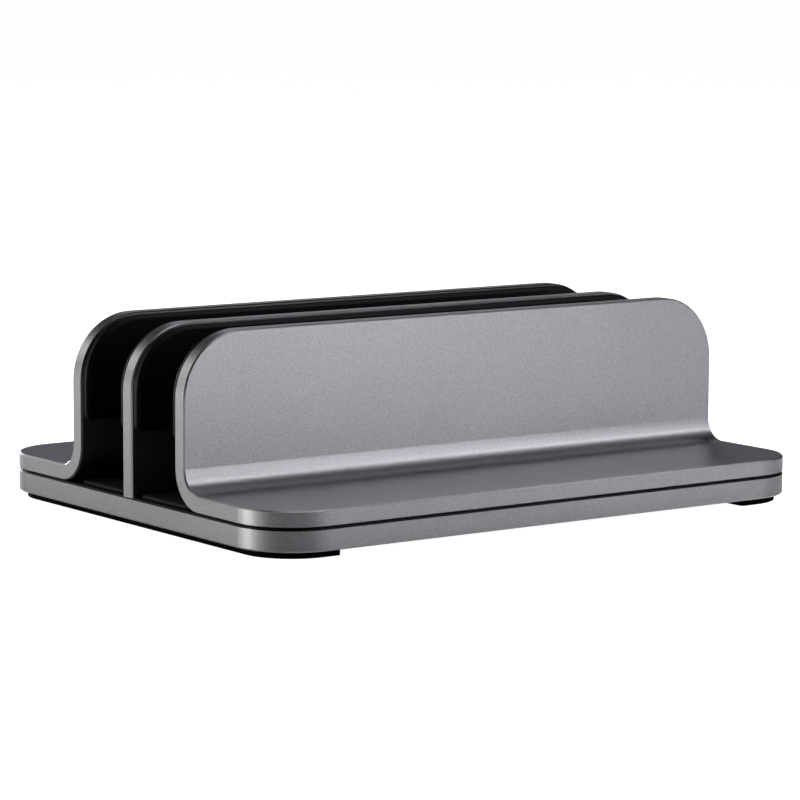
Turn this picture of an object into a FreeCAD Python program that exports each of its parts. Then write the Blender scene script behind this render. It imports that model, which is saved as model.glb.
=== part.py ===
import FreeCAD, Part
import math
import os

# Two-slot vertical laptop stand, in millimetres.
# Frame: +X along the slots, +Y towards the rear bracket, +Z up. The origin is the
# centre of the footprint, at the level of the surface that the feet rest on.
# Two L-shaped brackets lie on a flat base and slide across it. An upright divider
# stands between them, so that the walls and the divider make two slots.

# Overall size
LENGTH = 190.0            # along the slots
WIDTH = 148.0             # across the slots
CORNER_R = 17.5           # plan corners of the base and of the flanges
EDGE_CHAMFER = 0.4        # cut edges of every aluminium plate

# Layers, from the table up
FOOT_SHOWN = 2.0          # height of the foot strips below the base
BASE_T = 6.25             # base plate
MAT_T = 0.25              # slip mat between the base and a flange
PLATE_T = 4.8             # brackets and divider
WALL_TOP_Z = 57.4         # top of the bracket walls
DIVIDER_TOP_Z = 56.9      # top of the divider

# Brackets
WALL_OUTER_Y = 29.8       # outer face of a wall, from the middle of the stand
BEND_INNER_R = 6.6        # bend between flange and wall, on the outer side
WALL_CORNER_R = 19.0      # upper corners of the walls and of the divider
TRAVEL_OUT = 12.0         # slide of a bracket away from the divider
TRAVEL_IN = 3.0           # slide of a bracket towards the divider

# Silicone pads
PAD_T = 2.3               # pads on the walls and on the divider
PAD_INSET = 0.5           # rim of bare metal round a pad
PAD_SOFT_R = 0.9          # rounded edge of a pad
PAD_LOWER_R = 1.5         # lower corners of a pad
PAD_LOW_Z = 27.4          # lower edge of a pad
FLOOR_PAD_T = 1.0         # pads on the floor of the slots
FLOOR_PAD_INSET = 2.0     # from the ends of the base
FLOOR_PAD_NEAR_Y = 3.4    # edge beside the divider
FLOOR_PAD_FAR_Y = 28.6    # edge beside the bracket
FLOOR_PAD_CORNER_R = 2.0
RUBBER_CHAMFER = 0.35     # broken edge of the floor pads and of the foot strips

# Slip mats
MAT_INSET = 0.6           # from the edges of the base
MAT_NEAR_Y = 2.9          # edge beside the divider

# Foot strips
FOOT_WIDTH = 21.0
FOOT_INSET = 2.4          # from the edges of the base
FOOT_POCKET = 0.6         # depth of the pocket in the base
FOOT_POCKET_GAP = 0.15    # clearance round the strip in its pocket
FOOT_INNER_R = 1.0        # corners on the inner side

# Clamp screws, M4 button heads, and their washers
CLAMP_X = 55.0            # from the middle, along the slots
CLAMP_Y = 50.0            # from the middle, with the flanges flush with the base
CLAMP_R = 2.0
CLAMP_LENGTH = 8.0
CLAMP_HEAD_R = 3.8
CLAMP_HEAD_H = 2.1
CLAMP_KEY = 2.5           # across the flats of the hexagon socket
CLAMP_KEY_DEPTH = 1.3
CLAMP_HOLE_R = 2.05       # threaded hole in a flange
CLAMP_HOLE_DEPTH = 4.1
WASHER_R = 4.5
WASHER_HOLE_R = 2.1
WASHER_T = 0.8
WEB_T = 3.0               # base left above the screw heads
WEB_SLOT_W = 4.6          # slot for the shank
CHANNEL_W = 9.8           # channel below it for head and washer

# Divider screws, M3 countersunk
DIVIDER_SCREW_X = 62.0    # outer screws, from the middle
DIVIDER_SCREW_R = 1.5
DIVIDER_SCREW_LENGTH = 14.0
DIVIDER_HEAD_R = 3.0
DIVIDER_HEAD_H = 1.5
DIVIDER_HEAD_RECESS = 0.3
DIVIDER_KEY = 2.0
DIVIDER_KEY_DEPTH = 1.0
SCREW_GAP = 0.1           # clearance round a divider screw

# Worked-out levels and positions
BASE_LOW_Z = FOOT_SHOWN
BASE_TOP_Z = BASE_LOW_Z + BASE_T
FLANGE_LOW_Z = BASE_TOP_Z + MAT_T
FLANGE_TOP_Z = FLANGE_LOW_Z + PLATE_T
BEND_OUTER_R = BEND_INNER_R + PLATE_T
WALL_INNER_Y = WALL_OUTER_Y - PLATE_T
BEND_CENTRE_Y = WALL_OUTER_Y + BEND_INNER_R
BEND_CENTRE_Z = FLANGE_TOP_Z + BEND_INNER_R
DIVIDER_FACE_Y = PLATE_T / 2
HALF_LENGTH = LENGTH / 2
HALF_WIDTH = WIDTH / 2
WEB_LOW_Z = BASE_TOP_Z - WEB_T
CLAMP_SEAT_Z = WEB_LOW_Z - WASHER_T
TALL = 200.0              # more than any height, for cutting prisms

X_AXIS = FreeCAD.Vector(1, 0, 0)
Z_AXIS = FreeCAD.Vector(0, 0, 1)
ORIGIN = FreeCAD.Vector(0, 0, 0)


def point(x, y, z):
    return FreeCAD.Vector(x, y, z)


def cylinder(radius, height, x, y, z):
    """Upright cylinder with its lower face at z."""
    return Part.makeCylinder(radius, height, point(x, y, z), Z_AXIS)


def corner_arc(centre_x, centre_y, radius, turn):
    """Quarter circle in plan; turn 0, 1, 2 or 3 picks the quadrant."""
    circle = Part.Circle(point(centre_x, centre_y, 0), Z_AXIS, radius)
    quarter = math.pi / 2
    return Part.Arc(circle, turn * quarter, (turn + 1) * quarter).toShape()


def rounded_plan(x_low, x_high, y_low, y_high, radii):
    """Flat face at z = 0 with rounded corners.

    radii holds the corner radii in the order (high x, high y), (low x, high y),
    (low x, low y), (high x, low y).
    """
    corners = [(x_high, y_high, -1, -1), (x_low, y_high, 1, -1),
               (x_low, y_low, 1, 1), (x_high, y_low, -1, 1)]
    arcs = []
    for turn, ((x, y, inward_x, inward_y), radius) in enumerate(zip(corners, radii)):
        arcs.append(corner_arc(x + inward_x * radius, y + inward_y * radius, radius, turn))
    edges = []
    for arc, following in zip(arcs, arcs[1:] + arcs[:1]):
        start = arc.Vertexes[-1].Point
        end = following.Vertexes[0].Point
        edges.append(arc)
        if start.distanceToPoint(end) > 0.001:
            edges.append(Part.makeLine(start, end))
    return Part.Face(Part.Wire(edges))


def rounded_prism(x_low, x_high, y_low, y_high, radii, z_low, height):
    """Upright prism over a rounded rectangle."""
    face = rounded_plan(x_low, x_high, y_low, y_high, radii)
    face.translate(point(0, 0, z_low))
    return face.extrude(point(0, 0, height))


def upright_plate(x_half, z_low, z_high, upper_r, lower_r, y_low, thickness):
    """Plate standing on edge, with rounded upper and lower corners."""
    face = rounded_plan(-x_half, x_half, z_low, z_high, [upper_r, upper_r, lower_r, lower_r])
    face.rotate(ORIGIN, X_AXIS, 90)
    face.translate(point(0, y_low + thickness, 0))
    return face.extrude(point(0, -thickness, 0))


def slot_prism(width, x, y_low, y_high, z_low, height):
    """Upright slot along Y, with round ends centred on y_low and y_high."""
    radius = width / 2
    middle = Part.makeBox(width, y_high - y_low, height, point(x - radius, y_low, z_low))
    ends = [cylinder(radius, height, x, y, z_low) for y in (y_low, y_high)]
    return middle.fuse(ends).removeSplitter()


def hexagon_socket(across_flats, depth, x, y, z):
    """Six-sided socket that opens downwards at z."""
    corner_r = across_flats / math.sqrt(3)
    angles = [math.radians(60 * step) for step in range(6)]
    corners = [point(x + corner_r * math.cos(a), y + corner_r * math.sin(a), z) for a in angles]
    outline = Part.makePolygon(corners + corners[:1])
    return Part.Face(outline).extrude(point(0, 0, depth))


def sharp_edges(shape, wanted=lambda edge: True):
    """Edges where two faces meet at a clear angle, of those that are wanted."""
    found = []
    for edge in shape.Edges:
        faces = shape.ancestorsOfType(edge, Part.Face)
        if len(faces) != 2 or not wanted(edge):
            continue
        middle = edge.valueAt((edge.FirstParameter + edge.LastParameter) / 2)
        normals = [face.normalAt(*face.Surface.parameter(middle)) for face in faces]
        if abs(normals[0].dot(normals[1])) < 0.9:
            found.append(edge)
    return found


def turned_round(shape):
    """The same piece on the other side of the divider."""
    turned = shape.copy()
    turned.rotate(ORIGIN, Z_AXIS, 180)
    return turned


# ---- base -------------------------------------------------------------------

def foot_prism(gap, z_low, height):
    """Outline of the right foot strip, grown by gap."""
    x_high = HALF_LENGTH - FOOT_INSET + gap
    x_low = x_high - FOOT_WIDTH - 2 * gap
    y_half = HALF_WIDTH - FOOT_INSET + gap
    outer_r = CORNER_R - FOOT_INSET + gap
    radii = [outer_r, FOOT_INNER_R, FOOT_INNER_R, outer_r]
    return rounded_prism(x_low, x_high, -y_half, y_half, radii, z_low, height)


def clamp_slots(width, z_low, height):
    """Four slots along Y that a clamp screw follows when its bracket slides."""
    slots = []
    for x in (-CLAMP_X, CLAMP_X):
        for low_y, high_y in ((CLAMP_Y - TRAVEL_IN, CLAMP_Y + TRAVEL_OUT),
                              (-CLAMP_Y - TRAVEL_OUT, -CLAMP_Y + TRAVEL_IN)):
            slots.append(slot_prism(width, x, low_y, high_y, z_low, height))
    return slots


def divider_screw(x, gap):
    """Countersunk screw from below, grown by gap."""
    head_low = BASE_LOW_Z + DIVIDER_HEAD_RECESS
    head = Part.makeCone(DIVIDER_HEAD_R + gap, DIVIDER_SCREW_R + gap, DIVIDER_HEAD_H,
                         point(x, 0, head_low), Z_AXIS)
    shank_low = head_low + DIVIDER_HEAD_H
    shank = cylinder(DIVIDER_SCREW_R + gap, DIVIDER_SCREW_LENGTH - DIVIDER_HEAD_H + gap,
                     x, 0, shank_low)
    return head.fuse(shank)


def divider_screw_holes():
    """What is cut away for the three divider screws, with the recess of the heads."""
    holes = []
    for x in (-DIVIDER_SCREW_X, 0, DIVIDER_SCREW_X):
        recess = cylinder(DIVIDER_HEAD_R + SCREW_GAP, DIVIDER_HEAD_RECESS, x, 0, BASE_LOW_Z)
        holes.append(divider_screw(x, SCREW_GAP).fuse(recess))
    return holes


def base_plate():
    plate = rounded_prism(-HALF_LENGTH, HALF_LENGTH, -HALF_WIDTH, HALF_WIDTH,
                          [CORNER_R] * 4, BASE_LOW_Z, BASE_T)
    plate = plate.makeChamfer(EDGE_CHAMFER, sharp_edges(plate))
    pocket = foot_prism(FOOT_POCKET_GAP, BASE_LOW_Z, FOOT_POCKET)
    cuts = [pocket, turned_round(pocket)]
    cuts += clamp_slots(CHANNEL_W, BASE_LOW_Z, BASE_T - WEB_T)
    cuts += clamp_slots(WEB_SLOT_W, BASE_LOW_Z, BASE_T)
    cuts += divider_screw_holes()
    return plate.cut(cuts)


def right_foot_strip():
    strip = foot_prism(0, 0, FOOT_SHOWN + FOOT_POCKET)
    lower = sharp_edges(strip, lambda edge: edge.BoundBox.ZMax < 0.01)
    return strip.makeChamfer(RUBBER_CHAMFER, lower)


def front_slip_mat():
    x_half = HALF_LENGTH - MAT_INSET
    outer_r = CORNER_R - MAT_INSET
    mat = rounded_prism(-x_half, x_half, -HALF_WIDTH + MAT_INSET, -MAT_NEAR_Y,
                        [1, 1, outer_r, outer_r], BASE_TOP_Z, MAT_T)
    return mat.cut(clamp_slots(WEB_SLOT_W + 2 * MAT_INSET, BASE_TOP_Z, MAT_T))


def front_floor_pad():
    x_half = HALF_LENGTH - FLOOR_PAD_INSET
    pad = rounded_prism(-x_half, x_half, -FLOOR_PAD_FAR_Y, -FLOOR_PAD_NEAR_Y,
                        [FLOOR_PAD_CORNER_R] * 4, FLANGE_LOW_Z, FLOOR_PAD_T)
    upper = sharp_edges(pad, lambda edge: edge.BoundBox.ZMin > FLANGE_LOW_Z + 0.01
                        and edge.BoundBox.ZLength < 0.01)
    return pad.makeChamfer(RUBBER_CHAMFER, upper)


# ---- walls ------------------------------------------------------------------

def front_bracket():
    """Flange and wall bent from one plate, with the clamp holes in the flange."""
    wall = Part.makeBox(LENGTH, PLATE_T, WALL_TOP_Z - BEND_CENTRE_Z,
                        point(-HALF_LENGTH, -WALL_OUTER_Y, BEND_CENTRE_Z))
    flange = Part.makeBox(LENGTH, HALF_WIDTH - BEND_CENTRE_Y, PLATE_T,
                          point(-HALF_LENGTH, -HALF_WIDTH, FLANGE_LOW_Z))
    bend_axis = point(-HALF_LENGTH, -BEND_CENTRE_Y, BEND_CENTRE_Z)
    ring = Part.makeCylinder(BEND_OUTER_R, LENGTH, bend_axis, X_AXIS).cut(
        Part.makeCylinder(BEND_INNER_R, LENGTH, bend_axis, X_AXIS))
    quarter = Part.makeBox(LENGTH, BEND_OUTER_R, BEND_OUTER_R,
                           bend_axis - point(0, 0, BEND_OUTER_R))
    bent = wall.fuse([flange, ring.common(quarter)]).removeSplitter()
    wall_outline = upright_plate(HALF_LENGTH, 0, WALL_TOP_Z, WALL_CORNER_R, 1,
                                 -HALF_WIDTH, WIDTH)
    plan_outline = rounded_prism(-HALF_LENGTH, HALF_LENGTH, -HALF_WIDTH, HALF_WIDTH,
                                 [CORNER_R] * 4, 0, TALL)
    bent = bent.common(wall_outline).common(plan_outline).removeSplitter()
    bent = bent.makeChamfer(EDGE_CHAMFER, sharp_edges(bent))
    holes = [cylinder(CLAMP_HOLE_R, CLAMP_HOLE_DEPTH, x, -CLAMP_Y, FLANGE_LOW_Z)
             for x in (-CLAMP_X, CLAMP_X)]
    return bent.cut(holes)


def center_divider():
    plate = upright_plate(HALF_LENGTH, 0, DIVIDER_TOP_Z, WALL_CORNER_R, 1,
                          -DIVIDER_FACE_Y, PLATE_T)
    keep = Part.makeBox(LENGTH, PLATE_T, TALL, point(-HALF_LENGTH, -DIVIDER_FACE_Y, BASE_TOP_Z))
    plate = plate.common(keep)
    outline = sharp_edges(plate, lambda edge: edge.BoundBox.ZMax > BASE_TOP_Z + 1
                          and edge.BoundBox.YLength < 0.01)
    return plate.makeChamfer(EDGE_CHAMFER, outline).cut(divider_screw_holes())


def wall_pad(wall_top_z, back_y, outward):
    """Pad on a wall face at back_y, standing out from it towards outward (+1 or -1)."""
    y_low = min(back_y, back_y + outward * PAD_T)
    pad = upright_plate(HALF_LENGTH - PAD_INSET, PAD_LOW_Z, wall_top_z - PAD_INSET,
                        WALL_CORNER_R - PAD_INSET, PAD_LOWER_R, y_low, PAD_T)
    front_y = back_y + outward * PAD_T
    rim = sharp_edges(pad, lambda edge: edge.BoundBox.YLength < 0.01
                      and abs(edge.BoundBox.YMin - front_y) < 0.01)
    return pad.makeFillet(PAD_SOFT_R, rim)


# ---- fasteners --------------------------------------------------------------

def clamp_screw(x, y):
    """Button-head screw that holds a flange down from below."""
    head_low = CLAMP_SEAT_Z - CLAMP_HEAD_H
    head = cylinder(CLAMP_HEAD_R, CLAMP_HEAD_H, x, y, head_low)
    crown = sharp_edges(head, lambda edge: edge.BoundBox.ZMax < head_low + 0.01)
    head = head.makeFillet(CLAMP_HEAD_H / 2, crown)
    shank = cylinder(CLAMP_R, CLAMP_LENGTH, x, y, CLAMP_SEAT_Z)
    socket = hexagon_socket(CLAMP_KEY, CLAMP_KEY_DEPTH, x, y, head_low)
    return head.fuse(shank).cut(socket)


def clamp_washer(x, y):
    ring = cylinder(WASHER_R, WASHER_T, x, y, CLAMP_SEAT_Z)
    return ring.cut(cylinder(WASHER_HOLE_R, WASHER_T, x, y, CLAMP_SEAT_Z))


def finished_divider_screw(x):
    socket = hexagon_socket(DIVIDER_KEY, DIVIDER_KEY_DEPTH, x, 0,
                            BASE_LOW_Z + DIVIDER_HEAD_RECESS)
    return divider_screw(x, 0).cut(socket)


# ---- the whole stand --------------------------------------------------------

def all_nodes():
    bracket = front_bracket()
    foot = right_foot_strip()
    mat = front_slip_mat()
    floor_pad = front_floor_pad()
    bracket_pad = wall_pad(WALL_TOP_Z, -WALL_INNER_Y, 1)
    nodes = {
        "base_plate": base_plate(),
        "right_foot_strip": foot,
        "left_foot_strip": turned_round(foot),
        "front_slip_mat": mat,
        "rear_slip_mat": turned_round(mat),
        "front_floor_pad": floor_pad,
        "rear_floor_pad": turned_round(floor_pad),
        "center_divider": center_divider(),
        "divider_front_pad": wall_pad(DIVIDER_TOP_Z, -DIVIDER_FACE_Y, -1),
        "divider_rear_pad": wall_pad(DIVIDER_TOP_Z, DIVIDER_FACE_Y, 1),
        "front_bracket": bracket,
        "rear_bracket": turned_round(bracket),
        "front_bracket_pad": bracket_pad,
        "rear_bracket_pad": turned_round(bracket_pad),
    }
    for end, x in (("left", -CLAMP_X), ("right", CLAMP_X)):
        for side, y in (("front", -CLAMP_Y), ("rear", CLAMP_Y)):
            nodes[f"clamp_screw_{side}_{end}"] = clamp_screw(x, y)
            nodes[f"clamp_washer_{side}_{end}"] = clamp_washer(x, y)
    for place, x in (("left", -DIVIDER_SCREW_X), ("middle", 0), ("right", DIVIDER_SCREW_X)):
        nodes[f"divider_screw_{place}"] = finished_divider_screw(x)
    return nodes


os.makedirs("parts", exist_ok=True)
for name, shape in all_nodes().items():
    shape.exportStep(f"parts/{name}.step")
    print(name, "solids", len(shape.Solids), "valid", shape.isValid(),
          "volume", round(shape.Volume, 1))
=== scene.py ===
"""Looks of the two-slot vertical laptop stand, in metres, in the frame of the CAD model."""
import math

import bmesh
import bpy
from mathutils import Matrix, Vector


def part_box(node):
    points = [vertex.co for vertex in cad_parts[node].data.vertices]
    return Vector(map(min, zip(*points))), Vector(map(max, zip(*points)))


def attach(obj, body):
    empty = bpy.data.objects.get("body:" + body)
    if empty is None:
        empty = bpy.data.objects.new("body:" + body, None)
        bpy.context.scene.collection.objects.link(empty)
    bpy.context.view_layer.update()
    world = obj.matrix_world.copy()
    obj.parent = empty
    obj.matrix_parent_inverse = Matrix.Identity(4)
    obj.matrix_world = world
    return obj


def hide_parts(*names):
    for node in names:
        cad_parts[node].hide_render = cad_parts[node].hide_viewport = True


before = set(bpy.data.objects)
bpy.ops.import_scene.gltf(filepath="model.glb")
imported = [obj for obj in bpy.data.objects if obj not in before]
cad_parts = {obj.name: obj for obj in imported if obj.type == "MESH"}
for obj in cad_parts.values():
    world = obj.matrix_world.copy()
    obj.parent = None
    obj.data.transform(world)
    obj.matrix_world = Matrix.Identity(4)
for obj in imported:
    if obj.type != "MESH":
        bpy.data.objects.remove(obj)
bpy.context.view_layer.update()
MM = 0.001

# ---- sizes as in the CAD model --------------------------------------------------------
PLATE_T = 4.8 * MM
EDGE_CHAMFER = 0.4 * MM
BEND_INNER_R = 6.6 * MM
BEND_OUTER_R = BEND_INNER_R + PLATE_T
WALL_PAD_UPPER_R = 18.5 * MM
WALL_PAD_LOWER_R = 1.5 * MM
WALL_PAD_EDGE_R = 0.9 * MM
FLOOR_PAD_CORNER_R = 2.0 * MM
FOOT_OUTER_R = 15.1 * MM
FOOT_INNER_R = 1.0 * MM

# ---- sizes that only the moulded meshes have ------------------------------------------
WALL_PAD_CROWN = 0.12 * MM      # how far the middle of a pad stands out
FLOOR_PAD_CROWN = 0.05 * MM
FLOOR_PAD_EDGE_R = 0.5 * MM
FOOT_EDGE_R = 0.15 * MM
CROWN_REACH = 0.9               # share of the smallest corner radius that the crown takes
CORNER_STEPS = 14
EDGE_STEPS = 6
CROWN_STEPS = 5
DEPTH_SLACK = 0.02 * MM         # for telling the skin, chamfer and rim of a plate apart

# ---- finishes -------------------------------------------------------------------------
SKIN_COLOR = (0.201, 0.200, 0.218)
SKIN_ROUGHNESS = 0.36
RIM_COLOR = (0.216, 0.216, 0.234)
RIM_ROUGHNESS = 0.38
CUT_COLOR = (0.42, 0.42, 0.42)
CUT_ROUGHNESS = 0.30
# painted shade: a dark copy of the chamfer colour, for the brackets' chamfers on the slot side
# and under the flanges
PAINTED_SHADE_CUT_COLOR = (0.085, 0.082, 0.078)
# painted shade: a near-black copy of the chamfer colour, for the base's top chamfers along the
# seam under the flanges and beside the slots
SEAM_SHADE_CUT_COLOR = (0.016, 0.016, 0.017)
METAL_GRAIN_SIZE = 0.28 * MM
METAL_GRAIN_DEPTH = 0.02 * MM
BLACK_STEEL_COLOR = (0.05, 0.05, 0.055)
ZINC_COLOR = (0.55, 0.55, 0.53)
BLUE_LEAN = 1.1                 # how much bluer than grey silicone and rubber are

# ---- textures: noise scales per metre, ranges as (low, high) --------------------------
CLOUD_SCALE = 18.0              # faint clouding of the anodised skin
CUT_MARK_SCALE = 900.0          # tool marks on the chamfers
HAZE_SCALE = 45.0               # uneven sheen of silicone and rubber
STAIN_SCALE = 700.0             # spots on the screws and washers
STEEL_GRAIN_SCALE = 4000.0
STEEL_GRAIN_DEPTH = 0.01 * MM
GRAIN_NOISE = (0.25, 0.75)      # noise values, each stretched to the ranges below
WIDE_NOISE = (0.3, 0.7)
FULL_NOISE = (0.0, 1.0)
GRAIN_SHADES = (0.66, 1.34)     # factors on the colour
CLOUD_SHADES = (0.97, 1.03)
HAZE_SHADES = (0.8, 1.3)
STAIN_SHADES = (0.75, 1.25)
METAL_SWING = (-0.04, 0.04)     # added to the roughness
CUT_SWING = (-0.03, 0.05)
SOFT_SWING = (-0.06, 0.06)
STEEL_SWING = (-0.08, 0.08)
METAL_BUMP = 0.5                # strengths
SOFT_BUMP = 0.4
STEEL_BUMP = 0.3

# ---- sockets of a Mix node, by number because several share a name --------------------
MIX_SHARE = 0
MIX_NUMBER_A = 2
MIX_NUMBER_B = 3
MIX_COLOR_A = 6
MIX_COLOR_B = 7
MIX_NUMBER_OUT = 0
MIX_COLOR_OUT = 2

# ---- camera ---------------------------------------------------------------------------
CAMERA_AZIMUTH = -36.0      # degrees, from straight in front towards the left
CAMERA_ELEVATION = 7.54
CAMERA_ROLL = 0.275
CAMERA_DISTANCE = 0.9989
CAMERA_TARGET = Vector((-0.00007, 0.00054, 0.0288))
LENS = 151.45               # millimetres, as the sensor width
SENSOR_WIDTH = 36
CLIP_START = 0.01
CLIP_END = 100

# ---- softboxes: azimuth and elevation in degrees, size in metres, watts ---------------
SOFTBOX_DISTANCE = 1.3
LIGHT_AIM = Vector((0, 0, 0.03))
STRIP = (0.30, 0.25)
BOX = (0.45, 0.40)
LIGHTS = {
    "left_corner_strip": (-116, 3, STRIP, 13.0),       # bright stripe on the left corner
    "left_side_strip": (-95, 3, (0.60, 0.25), 1.5),    # soft side of that stripe
    "left_end_box": (-155, 20, BOX, 1.5),              # left end faces
    "left_fill": (-130, 35, (1.00, 0.80), 2.0),
    "back_strip": (180, 3, STRIP, 10.0),               # grazes the tops of the walls
    "back_high_box": (145, 40, BOX, 2.5),              # tops of the flanges
    "front_strip": (30, 3, STRIP, 2.0),                # front wall
    "front_box": (35, 20, BOX, 3.0),                   # upper half of the bend's highlight
    "front_high_strip": (50, 35, (0.40, 0.20), 2.5),   # its middle
    "front_top_strip": (30, 50, (0.30, 0.20), 4.0),    # its lower edge
    "top_fill": (0, 88, (0.80, 0.80), 1.5),
}
LEFT_TINT = (1.0, 0.995, 0.91)     # the left softboxes are a little warm
FRONT_TINT = (1.0, 1.0, 1.0)
BACK_TINT = (0.98, 0.98, 1.10)     # and the rear ones a little cold

# ---- floor lights: azimuth in degrees and watts. They shine away from the stand -------
FLOOR_LIGHTS = {"floor_light_front": (22, 4.4), "floor_light_left": (-150, 1.6)}
FLOOR_LIGHT_REACH = 0.27           # from the middle of the stand
FLOOR_LIGHT_HEIGHT = 0.28
FLOOR_LIGHT_TILT = 40              # degrees below level that it shines
FLOOR_LIGHT_SIZE = (0.20, 0.10)

# ---- floor and surroundings: a SEEN value is what the camera sees, and its partner is --
# ---- what lights the stand and shows in its metal --------------------------------------
WORLD_LEVEL = 0.018
WORLD_SEEN_LEVEL = 1.0
FLOOR_GLOW = 0.148
FLOOR_SEEN_GLOW = 0.985
FLOOR_SHADE = 0.5
FLOOR_SEEN_SHADE = 0.45

# ---- floor, the same for both ---------------------------------------------------------
FLOOR_ROUGHNESS = 0.9
FLOOR_SIZE = 60
WHITE = (1, 1, 1, 1)


# ---- helpers --------------------------------------------------------------------------

def direction(azimuth, elevation):
    """Unit vector away from the object; azimuth 0 is straight in front."""
    a, e = math.radians(azimuth), math.radians(elevation)
    return Vector((math.sin(a) * math.cos(e), -math.cos(a) * math.cos(e), math.sin(e)))


def new_material(name):
    """New material with its nodes, its links and its shader."""
    material = bpy.data.materials.new(name)
    material.use_nodes = True
    nodes = material.node_tree.nodes
    return material, nodes, material.node_tree.links, nodes["Principled BSDF"]


def add_noise(nodes, links, place, scale, detail=2.0, roughness=0.5):
    noise = nodes.new("ShaderNodeTexNoise")
    noise.inputs["Scale"].default_value = scale
    noise.inputs["Detail"].default_value = detail
    noise.inputs["Roughness"].default_value = roughness
    links.new(place, noise.inputs["Vector"])
    return noise.outputs["Fac"]


def remap(nodes, links, value, noise_range, new_range):
    """The value, stretched from its range of noise to a new range."""
    spread = nodes.new("ShaderNodeMapRange")
    spread.inputs["From Min"].default_value, spread.inputs["From Max"].default_value = noise_range
    spread.inputs["To Min"].default_value, spread.inputs["To Max"].default_value = new_range
    links.new(value, spread.inputs["Value"])
    return spread.outputs["Result"]


def vary_roughness(nodes, links, shader, value, noise_range, roughness, swing):
    """Roughness that follows the value, from roughness + swing[0] to roughness + swing[1]."""
    rough_range = [roughness + change for change in swing]
    links.new(remap(nodes, links, value, noise_range, rough_range), shader.inputs["Roughness"])


def tinted(nodes, links, color, factor):
    """Colour times a grey factor."""
    mix = nodes.new("ShaderNodeMix")
    mix.data_type = "RGBA"
    mix.blend_type = "MULTIPLY"
    mix.inputs[MIX_SHARE].default_value = 1.0
    mix.inputs[MIX_COLOR_A].default_value = (*color, 1)
    links.new(factor, mix.inputs[MIX_COLOR_B])
    return mix.outputs[MIX_COLOR_OUT]


def add_bump(nodes, links, shader, height, strength, distance):
    """Fine relief on the shader, without a change of shape."""
    bump = nodes.new("ShaderNodeBump")
    bump.inputs["Strength"].default_value = strength
    bump.inputs["Distance"].default_value = distance
    links.new(height, bump.inputs["Height"])
    links.new(bump.outputs["Normal"], shader.inputs["Normal"])


# ---- materials ------------------------------------------------------------------------

def blasted_metal(name, color, roughness, grain_size, grain_depth):
    """Anodised aluminium with a fine bead-blasted grain and faint clouding."""
    material, nodes, links, shader = new_material(name)
    shader.inputs["Metallic"].default_value = 1.0
    place = nodes.new("ShaderNodeTexCoord").outputs["Object"]
    grain = add_noise(nodes, links, place, 1 / grain_size, detail=3.0, roughness=0.65)
    cloud = add_noise(nodes, links, place, CLOUD_SCALE)
    shade_grain = remap(nodes, links, grain, GRAIN_NOISE, GRAIN_SHADES)
    shade_cloud = remap(nodes, links, cloud, WIDE_NOISE, CLOUD_SHADES)
    shade = nodes.new("ShaderNodeMath")
    shade.operation = "MULTIPLY"
    links.new(shade_grain, shade.inputs[0])
    links.new(shade_cloud, shade.inputs[1])
    links.new(tinted(nodes, links, color, shade.outputs[0]), shader.inputs["Base Color"])
    vary_roughness(nodes, links, shader, grain, GRAIN_NOISE, roughness, METAL_SWING)
    add_bump(nodes, links, shader, grain, METAL_BUMP, grain_depth)
    return material


def cut_metal(name, color, roughness):
    """Machined chamfer with faint tool marks. Its colour makes it bright, or dark as painted
    shade.
    """
    material, nodes, links, shader = new_material(name)
    shader.inputs["Metallic"].default_value = 1.0
    shader.inputs["Base Color"].default_value = (*color, 1)
    place = nodes.new("ShaderNodeTexCoord").outputs["Object"]
    marks = add_noise(nodes, links, place, CUT_MARK_SCALE)
    vary_roughness(nodes, links, shader, marks, FULL_NOISE, roughness, CUT_SWING)
    return material


def soft_black(name, level, roughness, specular, grain_size, grain_depth):
    """Matt moulded silicone or rubber, with a fine moulded grain."""
    material, nodes, links, shader = new_material(name)
    shader.inputs["Specular IOR Level"].default_value = specular
    place = nodes.new("ShaderNodeTexCoord").outputs["Object"]
    grain = add_noise(nodes, links, place, 1 / grain_size)
    haze = add_noise(nodes, links, place, HAZE_SCALE, detail=3.0)
    bluish_black = (level, level, level * BLUE_LEAN)
    shade = remap(nodes, links, haze, WIDE_NOISE, HAZE_SHADES)
    links.new(tinted(nodes, links, bluish_black, shade), shader.inputs["Base Color"])
    vary_roughness(nodes, links, shader, grain, WIDE_NOISE, roughness, SOFT_SWING)
    add_bump(nodes, links, shader, grain, SOFT_BUMP, grain_depth)
    return material


def screw_steel(name, color, roughness):
    """Steel with a fine grain and faint spots, as black oxide or zinc."""
    material, nodes, links, shader = new_material(name)
    shader.inputs["Metallic"].default_value = 1.0
    place = nodes.new("ShaderNodeTexCoord").outputs["Object"]
    stain = add_noise(nodes, links, place, STAIN_SCALE, detail=3.0)
    shade = remap(nodes, links, stain, WIDE_NOISE, STAIN_SHADES)
    links.new(tinted(nodes, links, color, shade), shader.inputs["Base Color"])
    vary_roughness(nodes, links, shader, stain, WIDE_NOISE, roughness, STEEL_SWING)
    grain = add_noise(nodes, links, place, STEEL_GRAIN_SCALE)
    add_bump(nodes, links, shader, grain, STEEL_BUMP, STEEL_GRAIN_DEPTH)
    return material


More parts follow.
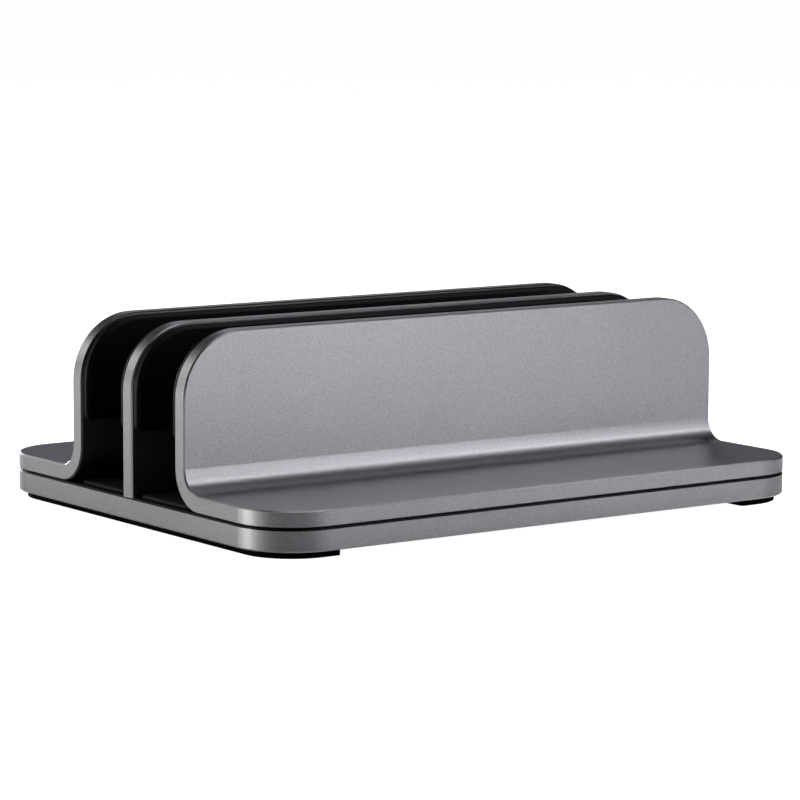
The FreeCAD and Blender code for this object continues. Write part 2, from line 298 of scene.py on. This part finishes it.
skin = blasted_metal("anodised_skin", SKIN_COLOR, SKIN_ROUGHNESS,
                     METAL_GRAIN_SIZE, METAL_GRAIN_DEPTH)
rim = blasted_metal("anodised_rim", RIM_COLOR, RIM_ROUGHNESS,
                    METAL_GRAIN_SIZE, METAL_GRAIN_DEPTH)
cut = cut_metal("cut_chamfer", CUT_COLOR, CUT_ROUGHNESS)
# painted shade: the brackets' chamfers on the slot side and under the flanges in a dark copy of
# the chamfer metal
painted_shade_cut = cut_metal("cut_chamfer_slot_side_painted_shade", PAINTED_SHADE_CUT_COLOR, CUT_ROUGHNESS)
# painted shade along the seam: the base's top chamfers in near black
seam_shade_cut = cut_metal("cut_chamfer_seam_painted_shade", SEAM_SHADE_CUT_COLOR, CUT_ROUGHNESS)
silicone = soft_black("silicone", level=0.001, roughness=0.45, specular=0.08,
                      grain_size=0.3 * MM, grain_depth=0.01 * MM)
# painted light: the floor pads get a lighter copy of the black pad silicone than the wall pads,
# so that their ends look lit
floor_silicone_painted_light = soft_black("floor_pad_silicone_painted_light", level=0.006, roughness=0.7, specular=0.12,
                            grain_size=0.3 * MM, grain_depth=0.02 * MM)
mat_black = soft_black("slip_mat_film", level=0.002, roughness=0.8, specular=0.05,
                       grain_size=0.5 * MM, grain_depth=0.01 * MM)
foot_rubber = soft_black("foot_rubber", level=0.001, roughness=0.7, specular=0.01,
                         grain_size=0.4 * MM, grain_depth=0.02 * MM)
black_steel = screw_steel("black_oxide_steel", BLACK_STEEL_COLOR, roughness=0.35)
zinc_steel = screw_steel("zinc_plated_steel", ZINC_COLOR, roughness=0.30)


# ---- aluminium plates: skin, rim and two chamfers of each plate -----------------------
SKIN_SLOT, RIM_SLOT, LOW_EDGE_SLOT, HIGH_EDGE_SLOT = range(4)


def give_materials(node, *materials):
    """Puts the materials in the node's own slots."""
    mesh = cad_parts[node].data
    mesh.materials.clear()
    for material in materials:
        mesh.materials.append(material)
    return mesh


def sort_plate_faces(node, depth, low_edge, high_edge):
    """Gives each face of a plate its finish. depth(point) runs from 0 on one skin of
    the plate to its thickness on the other. low_edge and high_edge are the finishes of
    the chamfers next to the two skins."""
    mesh = give_materials(node, skin, rim, low_edge, high_edge)
    depths = [depth(vertex.co) for vertex in mesh.vertices]
    top = max(depths)
    for face in mesh.polygons:
        own = [depths[index] for index in face.vertices]
        if max(own) < DEPTH_SLACK or min(own) > top - DEPTH_SLACK:
            face.material_index = SKIN_SLOT
        elif max(own) < EDGE_CHAMFER + DEPTH_SLACK:
            face.material_index = LOW_EDGE_SLOT
        elif min(own) > top - EDGE_CHAMFER - DEPTH_SLACK:
            face.material_index = HIGH_EDGE_SLOT
        else:
            face.material_index = RIM_SLOT


def bracket_depth(node):
    """Depth through a bent bracket, measured from its slot side."""
    low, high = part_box(node)
    side = 1 if low.y > 0 else -1
    inner_y = min(abs(low.y), abs(high.y))
    bend_y = inner_y + BEND_OUTER_R
    bend_z = low.z + BEND_OUTER_R

    def depth(point):
        y = side * point.y
        if point.z >= bend_z:
            return y - inner_y
        if y >= bend_y:
            return point.z - low.z
        return BEND_OUTER_R - math.hypot(y - bend_y, point.z - bend_z)
    return depth


def upright_depth(node):
    """Depth through the divider, measured from its front face."""
    low_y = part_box(node)[0].y
    return lambda point: point.y - low_y


def flat_depth(node):
    """Depth through the base, measured from its underside."""
    low_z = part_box(node)[0].z
    return lambda point: point.z - low_z


# the brackets' slot-side and under-flange chamfers get painted shade
for bracket in ("front_bracket", "rear_bracket"):
    sort_plate_faces(bracket, bracket_depth(bracket), painted_shade_cut, cut)
sort_plate_faces("center_divider", upright_depth("center_divider"), cut, cut)
# the base's top chamfers, along the seam under the flanges and beside the slots, get painted
# shade
sort_plate_faces("base_plate", flat_depth("base_plate"), cut, seam_shade_cut)


# ---- moulded pads and feet ------------------------------------------------------------

def rounded_outline(x_low, x_high, y_low, y_high, radii):
    """Points round a rectangle with rounded corners, anticlockwise. radii are for the
    corners (high x, high y), (low x, high y), (low x, low y), (high x, low y)."""
    corners = [(x_high, y_high, -1, -1), (x_low, y_high, 1, -1),
               (x_low, y_low, 1, 1), (x_high, y_low, -1, 1)]
    outline = []
    for turn, ((x, y, inward_x, inward_y), radius) in enumerate(zip(corners, radii)):
        for step in range(CORNER_STEPS + 1):
            angle = math.radians(90 * (turn + step / CORNER_STEPS))
            outline.append((x + inward_x * radius + radius * math.cos(angle),
                            y + inward_y * radius + radius * math.sin(angle)))
    return outline


def moulded_slab(name, size, radii, thickness, edge_r, crown):
    """Slab with a flat back at height 0, a rounded front edge and a crowned front.

    size is (x_low, x_high, y_low, y_high). The slab is a stack of outlines. A ring says
    how far its outline is set in and how high it stands: the first two make the upright
    side, the next ones the rounded edge and the last ones the crown.
    """
    rings = [(0.0, 0.0)]
    side_top = thickness - crown - edge_r
    for step in range(EDGE_STEPS + 1):
        angle = math.radians(90 * step / EDGE_STEPS)
        rings.append((edge_r * (1 - math.cos(angle)), side_top + edge_r * math.sin(angle)))
    crown_reach = min(radii) * CROWN_REACH
    for step in range(1, CROWN_STEPS + 1):
        share = step / CROWN_STEPS
        inset = edge_r + (crown_reach - edge_r) * share
        rings.append((inset, thickness - crown * (1 - math.sin(math.radians(90 * share)))))
    shape = bmesh.new()
    loops = []
    for inset, height in rings:
        x_low, x_high, y_low, y_high = size
        outline = rounded_outline(x_low + inset, x_high - inset, y_low + inset, y_high - inset,
                                  [radius - inset for radius in radii])
        loops.append([shape.verts.new((x, y, height)) for x, y in outline])
    for lower, upper in zip(loops, loops[1:]):
        for index in range(len(lower)):
            following = (index + 1) % len(lower)
            shape.faces.new((lower[index], lower[following], upper[following], upper[index]))
    shape.faces.new(list(reversed(loops[0])))
    shape.faces.new(loops[-1])
    mesh = bpy.data.meshes.new(name)
    shape.to_mesh(mesh)
    shape.free()
    for face in mesh.polygons:
        face.use_smooth = len(face.vertices) == 4
    piece = bpy.data.objects.new(name, mesh)
    bpy.context.scene.collection.objects.link(piece)
    return piece


def stand_for(piece, node, body, material):
    """Lets the moulded piece take the place of the CAD node."""
    piece.data.materials.append(material)
    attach(piece, body)
    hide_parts(node)


def wall_pad(node, body, facing):
    """Pad on an upright face. facing is +1 or -1, the way along Y that it looks."""
    low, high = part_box(node)
    radii = [WALL_PAD_UPPER_R, WALL_PAD_UPPER_R, WALL_PAD_LOWER_R, WALL_PAD_LOWER_R]
    piece = moulded_slab("silicone_" + node, (low.x, high.x, low.z, high.z), radii,
                         high.y - low.y, WALL_PAD_EDGE_R, WALL_PAD_CROWN)
    back_y = low.y if facing > 0 else high.y
    for vertex in piece.data.vertices:
        x, z, height = vertex.co
        vertex.co = (-facing * x, back_y + facing * height, z)
    stand_for(piece, node, body, silicone)


def floor_pad(node):
    """Pad on the floor of a slot."""
    low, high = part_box(node)
    piece = moulded_slab("silicone_" + node, (low.x, high.x, low.y, high.y),
                         [FLOOR_PAD_CORNER_R] * 4, high.z - low.z, FLOOR_PAD_EDGE_R,
                         FLOOR_PAD_CROWN)
    piece.data.transform(Matrix.Translation((0, 0, low.z)))
    stand_for(piece, node, "base", floor_silicone_painted_light)


def foot_strip(node):
    """Rubber foot with a slightly rounded lower edge, moulded upside down."""
    low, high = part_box(node)
    left = low.x < 0
    radii = [FOOT_INNER_R, FOOT_OUTER_R, FOOT_OUTER_R, FOOT_INNER_R]
    if not left:
        radii = [FOOT_OUTER_R, FOOT_INNER_R, FOOT_INNER_R, FOOT_OUTER_R]
    piece = moulded_slab("rubber_" + node, (low.x, high.x, low.y, high.y), radii,
                         high.z - low.z, FOOT_EDGE_R, crown=0.0)
    for vertex in piece.data.vertices:
        x, y, height = vertex.co
        vertex.co = (x, y, high.z - height)
    piece.data.flip_normals()
    stand_for(piece, node, "base", foot_rubber)


wall_pad("front_bracket_pad", "front_slider", 1)
wall_pad("rear_bracket_pad", "rear_slider", -1)
wall_pad("divider_front_pad", "base", -1)
wall_pad("divider_rear_pad", "base", 1)
for node in ("front_floor_pad", "rear_floor_pad"):
    floor_pad(node)
for node in ("left_foot_strip", "right_foot_strip"):
    foot_strip(node)

for node in ("front_slip_mat", "rear_slip_mat"):
    give_materials(node, mat_black)
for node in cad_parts:
    if "washer" in node:
        give_materials(node, zinc_steel)
    elif "screw" in node:
        give_materials(node, black_steel)


# ---- stage ----------------------------------------------------------------------------

def add_camera():
    """Camera as it stood for the photo."""
    data = bpy.data.cameras.new("camera")
    data.lens = LENS
    data.sensor_width = SENSOR_WIDTH
    data.clip_start = CLIP_START
    data.clip_end = CLIP_END
    camera = bpy.data.objects.new("camera", data)
    back = direction(CAMERA_AZIMUTH, CAMERA_ELEVATION)
    camera.location = CAMERA_TARGET + back * CAMERA_DISTANCE
    camera.rotation_euler = back.to_track_quat("Z", "Y").to_euler()
    camera.rotation_euler.rotate_axis("Z", math.radians(CAMERA_ROLL))
    bpy.context.scene.collection.objects.link(camera)
    bpy.context.scene.camera = camera


def add_light(name, place, back, size, power, color):
    """Rectangular light at place, with its back towards the direction back."""
    data = bpy.data.lights.new(name, "AREA")
    data.shape = "RECTANGLE"
    data.size, data.size_y = size
    data.energy = power
    data.color = color
    light = bpy.data.objects.new(name, data)
    light.location = place
    light.rotation_euler = back.to_track_quat("Z", "Y").to_euler()
    bpy.context.scene.collection.objects.link(light)


def add_softboxes():
    """Softboxes round the stand, and small lights turned away from it to the floor.
    The first word of a softbox's name picks its tint."""
    for name, (azimuth, elevation, size, power) in LIGHTS.items():
        away = direction(azimuth, elevation)
        color = {"left": LEFT_TINT, "back": BACK_TINT}.get(name.split("_")[0], FRONT_TINT)
        add_light(name, LIGHT_AIM + away * SOFTBOX_DISTANCE, away, size, power, color)
    for name, (azimuth, power) in FLOOR_LIGHTS.items():
        place = direction(azimuth, 0) * FLOOR_LIGHT_REACH + Vector((0, 0, FLOOR_LIGHT_HEIGHT))
        back = direction(azimuth + 180, FLOOR_LIGHT_TILT)
        add_light(name, place, back, FLOOR_LIGHT_SIZE, power, FRONT_TINT)


def seen_or_not(nodes, links, seen, unseen):
    """The value seen where the camera looks straight at the stage, else unseen."""
    switch = nodes.new("ShaderNodeMix")
    switch.inputs[MIX_NUMBER_A].default_value = unseen
    switch.inputs[MIX_NUMBER_B].default_value = seen
    straight = nodes.new("ShaderNodeLightPath").outputs["Is Camera Ray"]
    links.new(straight, switch.inputs[MIX_SHARE])
    return switch.outputs[MIX_NUMBER_OUT]


def add_world():
    """White beyond the floor, but dark where the metal mirrors it."""
    world = bpy.data.worlds.new("studio")
    world.use_nodes = True
    nodes, links = world.node_tree.nodes, world.node_tree.links
    backdrop = nodes["Background"]
    backdrop.inputs["Color"].default_value = WHITE
    links.new(seen_or_not(nodes, links, WORLD_SEEN_LEVEL, WORLD_LEVEL),
              backdrop.inputs["Strength"])
    bpy.context.scene.world = world


def add_floor():
    """Pale paper. It looks nearly white, and throws back less light than it shows."""
    material, nodes, links, shader = new_material("floor_paper")
    links.new(seen_or_not(nodes, links, FLOOR_SEEN_SHADE, FLOOR_SHADE),
              shader.inputs["Base Color"])
    shader.inputs["Roughness"].default_value = FLOOR_ROUGHNESS
    shader.inputs["Specular IOR Level"].default_value = 0.0
    shader.inputs["Emission Color"].default_value = WHITE
    links.new(seen_or_not(nodes, links, FLOOR_SEEN_GLOW, FLOOR_GLOW),
              shader.inputs["Emission Strength"])
    bpy.ops.mesh.primitive_plane_add(size=FLOOR_SIZE, location=(0, 0, 0))
    floor = bpy.context.object
    floor.name = "floor"
    floor.data.materials.append(material)


add_camera()
add_softboxes()
add_world()
add_floor()
bpy.context.scene.view_settings.view_transform = "Standard"
